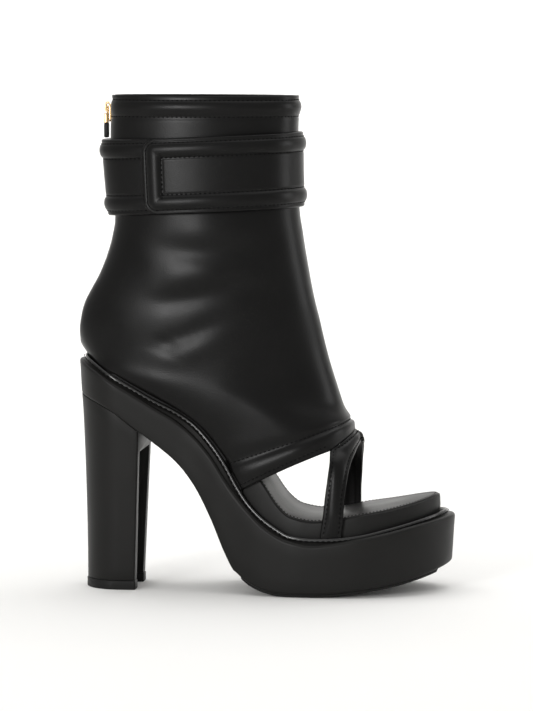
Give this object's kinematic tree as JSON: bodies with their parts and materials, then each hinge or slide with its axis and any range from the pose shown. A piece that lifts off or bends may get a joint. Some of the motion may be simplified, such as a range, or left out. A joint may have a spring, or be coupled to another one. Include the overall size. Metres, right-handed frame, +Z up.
{
  "type": "open-toe platform ankle boot",
  "caption": "Right ankle boot on a covered platform with a block heel: open toe and sides over the forefoot, padded collar, wide padded ankle strap, zip up the back",
  "frame": {"origin": "centre of the outline on the floor, under the middle of the bounding box", "axes": "+X from heel to toe, +Y to the inner side of the foot, +Z up"},
  "size_m": [0.2172, 0.089, 0.2845],
  "materials": {
    "platform_black_leather": "smooth black leather cover with a soft sheen",
    "tread_black_rubber": "matte black rubber",
    "welt_black_leather": "smooth black leather bead",
    "heel_black_leather": "smooth black leather cover with a soft sheen",
    "top_lift_black_rubber": "matte black rubber",
    "footbed_black_leather": "fine grained black leather",
    "insole_grey_satin": "grey satin with a stitched edge",
    "upper_black_satin": "black satin-finish leather with fine grain and soft creases",
    "ankle_strap_black_satin": "black satin-finish leather, padded edges",
    "zip_tape_black": "black woven tape",
    "zip_teeth_black": "black moulded coil",
    "slider_pale_gold": "polished pale gold",
    "link_pale_gold": "polished pale gold",
    "pull_tab_black_leather": "black leather"
  },
  "bodies": {
    "shoe": {"platform": "platform_black_leather", "tread": "tread_black_rubber", "welt": "welt_black_leather", "heel": "heel_black_leather", "top_lift": "top_lift_black_rubber", "footbed": "footbed_black_leather", "insole": "insole_grey_satin", "upper": "upper_black_satin", "ankle_strap": "ankle_strap_black_satin", "zip_tape": "zip_tape_black", "zip_teeth": "zip_teeth_black", "slider_body": "slider_pale_gold"},
    "zip_pull": {"zip_link": "link_pale_gold", "zip_pull_tab": "pull_tab_black_leather"}
  },
  "joints": [
    {"name": "zip_pull_swing", "type": "hinge", "parent": "shoe", "child": "zip_pull", "pos_m": [-0.09223, 0.00026, 0.2775], "axis": [0, 1, 0], "range_deg": [0, 150]}
  ]
}
